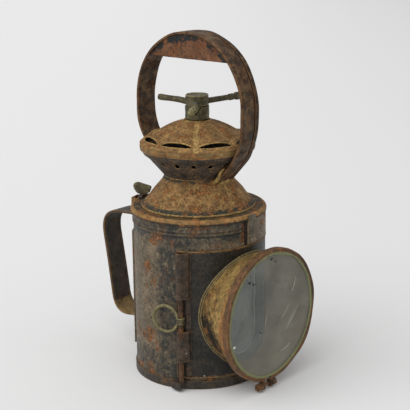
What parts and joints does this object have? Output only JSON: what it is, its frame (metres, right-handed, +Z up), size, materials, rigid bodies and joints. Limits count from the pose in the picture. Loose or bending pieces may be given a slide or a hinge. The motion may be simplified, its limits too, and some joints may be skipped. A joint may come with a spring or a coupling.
{
  "type": "signal hand lantern",
  "caption": "Round tin hand lantern with a hinged bull's-eye door, flared glazed hood, colour selector under a vented cowl, carrying hoop and rear handle, lit by a candle.",
  "frame": {"origin": "middle of the round base, on the surface the lantern stands on", "axes": "+Z up, the lens faces -Y, the rear handle is at +Y, the carrying hoop stands in the YZ plane"},
  "size_m": [0.1291, 0.2092, 0.316],
  "materials": {
    "dark_paint": "worn dark paint over rusting tin",
    "rusty_tin": "ochre and orange rust",
    "sooty_tin": "dark sooty rust",
    "hoop_iron": "dark brown rust",
    "grip_rust": "orange red rust with dark paint left",
    "handle_paint": "near black paint with brown edges",
    "hood_brass": "ochre brass with dark patches",
    "aged_brass": "olive brown patina",
    "plain_steel": "dull grey, a little rust",
    "tube_tin": "dark blue grey inside the lens tube",
    "guide_tin": "dark paint with brown rust",
    "clear_glass": "dusty clear",
    "ruby_glass": "red filter glass",
    "emerald_glass": "green filter glass",
    "old_putty": "yellow green putty",
    "grey_solder": "dull yellowish solder",
    "tray_tin": "dull tinned sheet",
    "dish_mirror": "tarnished polished dish",
    "tallow": "ivory wax",
    "wick_cotton": "burnt cotton"
  },
  "bodies": {
    "body": {"base_plate": "dark_paint", "tray_stud": "plain_steel", "body_shell": "dark_paint", "back_plate": "dark_paint", "hinge_plate": "dark_paint", "top_flange": "dark_paint", "roof_cone": "rusty_tin", "cowl_bowl": "sooty_tin", "cowl_rim": "rusty_tin", "cowl_cap": "rusty_tin", "cap_bush": "aged_brass", "spindle_bridge": "sooty_tin", "hoop_strap": "hoop_iron", "hoop_solder": "grey_solder", "grip_sides": "grip_rust", "grip_floor": "grip_rust", "rear_handle": "handle_paint", "handle_rivets": "handle_paint", "hinge_leaf": "dark_paint", "hinge_pin": "plain_steel", "bolt_keeper": "dark_paint", "thumb_guide": "plain_steel", "catch_pocket": "dark_paint"},
    "selector": {"selector_sleeve": "aged_brass", "selector_spindle": "plain_steel", "drum_spider": "plain_steel", "filter_drum": "plain_steel", "red_glass": "ruby_glass", "green_glass": "emerald_glass", "spindle_nut": "plain_steel"},
    "knob": {"knob_hub": "aged_brass", "front_arm": "aged_brass", "stepped_arm": "aged_brass", "rear_arm": "aged_brass", "knob_spring": "plain_steel"},
    "door": {"door_panel": "dark_paint", "door_leaf": "dark_paint", "lens_hood": "hood_brass", "hood_bead": "hood_brass", "clamp_ring": "rusty_tin", "clamp_screw": "plain_steel", "clamp_nut": "plain_steel", "front_glass": "clear_glass", "putty_ring": "old_putty", "lens_tube": "tube_tin", "bulls_eye_lens": "clear_glass", "lens_ring": "plain_steel", "bolt_guide_lower": "guide_tin", "bolt_guide_upper": "guide_tin"},
    "bolt": {"lift_bolt": "aged_brass", "bolt_ring": "aged_brass"},
    "thumb": {"thumb_catch": "aged_brass"},
    "candle": {"candle_tray": "tray_tin", "candle_socket": "tray_tin", "candle": "tallow", "wick": "wick_cotton", "reflector": "dish_mirror", "reflector_post": "tray_tin"}
  },
  "joints": [
    {"name": "selector_turn", "type": "hinge", "parent": "body", "child": "selector", "pos_m": [0, 0, 0.2], "axis": [0, 0, 1], "continuous": true},
    {"name": "knob_lift", "type": "slide", "parent": "selector", "child": "knob", "axis": [0, 0, 1], "range_m": [0, 0.008], "stiffness_N_per_m": 300, "springref_m": -0.006, "deforming": ["knob_spring"]},
    {"name": "door_swing", "type": "hinge", "parent": "body", "child": "door", "pos_m": [0.0568, -0.02771, 0.07], "axis": [0, 0, 1], "range_deg": [0, 110]},
    {"name": "bolt_lift", "type": "slide", "parent": "door", "child": "bolt", "axis": [0, 0, 1], "range_m": [0, 0.012]},
    {"name": "thumb_slide", "type": "slide", "parent": "body", "child": "thumb", "axis": [0, 0, 1], "range_m": [0, 0.012]},
    {"name": "candle_lift", "type": "slide", "parent": "body", "child": "candle", "axis": [0, 0, 1], "range_m": [0, 0.012]}
  ]
}
